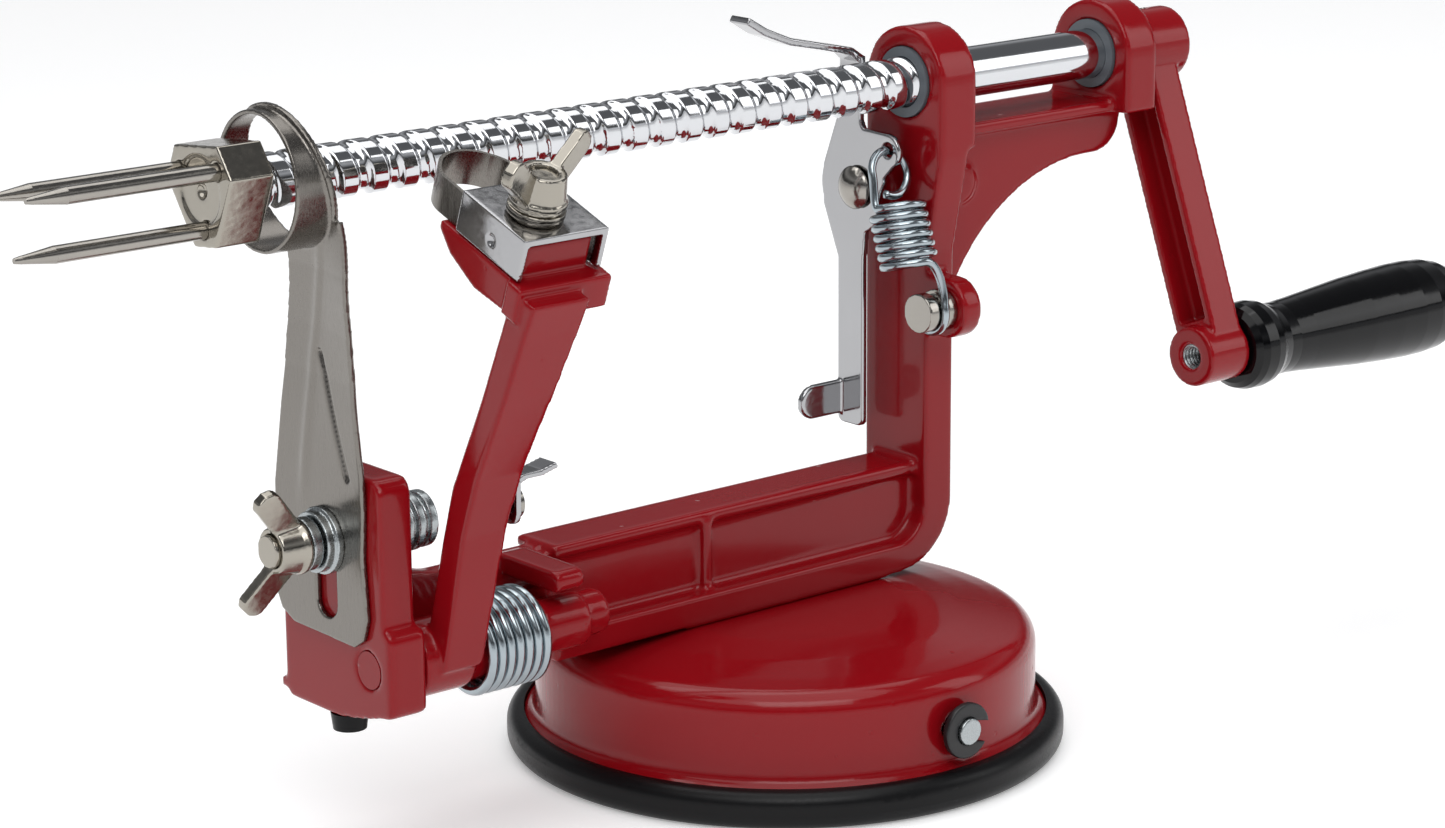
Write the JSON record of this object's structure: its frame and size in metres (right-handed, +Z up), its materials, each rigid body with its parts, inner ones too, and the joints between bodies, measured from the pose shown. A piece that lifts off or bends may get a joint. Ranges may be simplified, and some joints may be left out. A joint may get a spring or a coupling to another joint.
{
  "type": "apple peeler corer",
  "caption": "Hand-cranked apple peeler, corer and slicer: a screw-fed fork turns the fruit past a sprung paring blade and a ring corer, on a cast arm with a suction base.",
  "frame": {"origin": "centre of the suction base's underside, on the table", "axes": "+X along the drive screw from the fork to the crank, +Y to the far side, +Z up"},
  "size_m": [0.341, 0.112, 0.1414],
  "materials": {
    "red_paint": "high-gloss deep red powder coat on a die casting, with slight ripple and rounded edges",
    "grey_nylon": "dark grey satin nylon bush",
    "black_rubber": "matte black rubber with a faint mould sheen",
    "zinc_wire": "bright zinc-plated spring wire with a faint blue tint",
    "nickel_plate": "warm nickel plating, smooth with small casting dimples",
    "zinc_plate": "satin zinc plating",
    "bright_steel": "bright turned steel",
    "black_plastic": "black satin plastic",
    "stainless_sheet": "satin stainless sheet with a fine grain",
    "chrome_sheet": "bright chromed sheet",
    "chrome_bar": "polished hard chrome",
    "white_nylon": "natural nylon",
    "black_gloss": "gloss black moulded plastic"
  },
  "bodies": {
    "frame": {"frame_casting": "red_paint", "front_bush": "grey_nylon", "rear_bush": "grey_nylon", "frame_foot": "black_rubber", "pivot_rod": "red_paint", "torsion_spring": "zinc_wire", "blade_bolt": "nickel_plate", "blade_lock_nut": "zinc_plate", "spring_stud": "bright_steel", "lever_rivet": "bright_steel", "base_dome": "red_paint", "base_ring": "black_rubber", "base_screws": "zinc_plate", "stem_guide": "black_plastic", "release_spring": "zinc_wire"},
    "cam": {"cam_shaft": "zinc_plate", "cam_clip": "black_plastic", "suction_lever": "zinc_plate", "lever_sleeve": "black_plastic"},
    "suction": {"suction_stem": "zinc_plate", "suction_pad": "black_rubber"},
    "corer": {"coring_blade": "stainless_sheet"},
    "corer_nut": {"blade_washers": "zinc_plate", "blade_wing_nut": "nickel_plate"},
    "arm": {"paring_arm": "red_paint", "catch_rivet": "bright_steel", "clamp_bolt": "nickel_plate", "clamp_washers": "nickel_plate"},
    "catch": {"arm_catch": "chrome_sheet"},
    "parer": {"paring_blade": "stainless_sheet", "blade_clamp": "chrome_sheet"},
    "parer_nut": {"clamp_wing_nut": "nickel_plate"},
    "carriage": {"thrust_washer": "white_nylon"},
    "drive": {"drive_screw": "chrome_bar", "fork_hub": "nickel_plate", "fork_prongs": "bright_steel", "crank_arm": "red_paint", "crank_pin": "bright_steel", "handle_axle": "bright_steel"},
    "grip": {"handle_grip": "black_gloss", "handle_cap": "black_gloss"},
    "release": {"release_lever": "chrome_sheet"}
  },
  "joints": [
    {"name": "shaft_travel", "type": "slide", "parent": "frame", "child": "carriage", "axis": [1, 0, 0], "range_m": [0, 0.117]},
    {"name": "crank_turn", "type": "hinge", "parent": "carriage", "child": "drive", "pos_m": [0.05, 0.005, 0.126], "axis": [1, 0, 0], "range_deg": [0, 6480]},
    {"name": "grip_spin", "type": "hinge", "parent": "drive", "child": "grip", "pos_m": [0.14, -0.01801, 0.06478], "axis": [1, 0, 0], "continuous": true},
    {"name": "release_swing", "type": "hinge", "parent": "frame", "child": "release", "pos_m": [0.0305, 0.0124, 0.1046], "axis": [1, 0, 0], "range_deg": [-14, 0], "stiffness_Nm_per_rad": 0.6, "springref_deg": 11.46, "deforming": ["release_spring"]},
    {"name": "arm_swing", "type": "hinge", "parent": "frame", "child": "arm", "pos_m": [-0.085, -0.0056, 0.0373], "axis": [1, 0, 0], "range_deg": [0, 40], "stiffness_Nm_per_rad": 0.25, "springref_deg": -34.38, "deforming": ["torsion_spring"]},
    {"name": "catch_turn", "type": "hinge", "parent": "arm", "child": "catch", "pos_m": [-0.081, -0.0184, 0.067], "axis": [1, 0, 0], "range_deg": [-20, 10]},
    {"name": "parer_adjust", "type": "slide", "parent": "arm", "child": "parer", "axis": [0, 0.9397, 0.342], "range_m": [-0.0025, 0]},
    {"name": "parer_nut_turn", "type": "hinge", "parent": "arm", "child": "parer_nut", "pos_m": [-0.083, -0.03261, 0.12603], "axis": [0, -0.342, 0.9397], "continuous": true},
    {"name": "corer_adjust", "type": "slide", "parent": "frame", "child": "corer", "axis": [0, 0, 1], "range_m": [-0.001, 0.0012]},
    {"name": "corer_nut_turn", "type": "hinge", "parent": "frame", "child": "corer_nut", "pos_m": [-0.11, 0.005, 0.0596], "axis": [1, 0, 0], "continuous": true},
    {"name": "suction_lock", "type": "hinge", "parent": "frame", "child": "cam", "pos_m": [0, 0, 0.0145], "axis": [0, -1, 0], "range_deg": [0, 180]},
    {"name": "pad_lift", "type": "slide", "parent": "frame", "child": "suction", "axis": [0, 0, 1], "range_m": [0, 0.003]}
  ],
  "couplings": [
    {"joint": "shaft_travel", "follows": "crank_turn", "m_per_rad": 0.0010345},
    {"joint": "pad_lift", "follows": "suction_lock", "m_per_rad": 0.00095493}
  ]
}
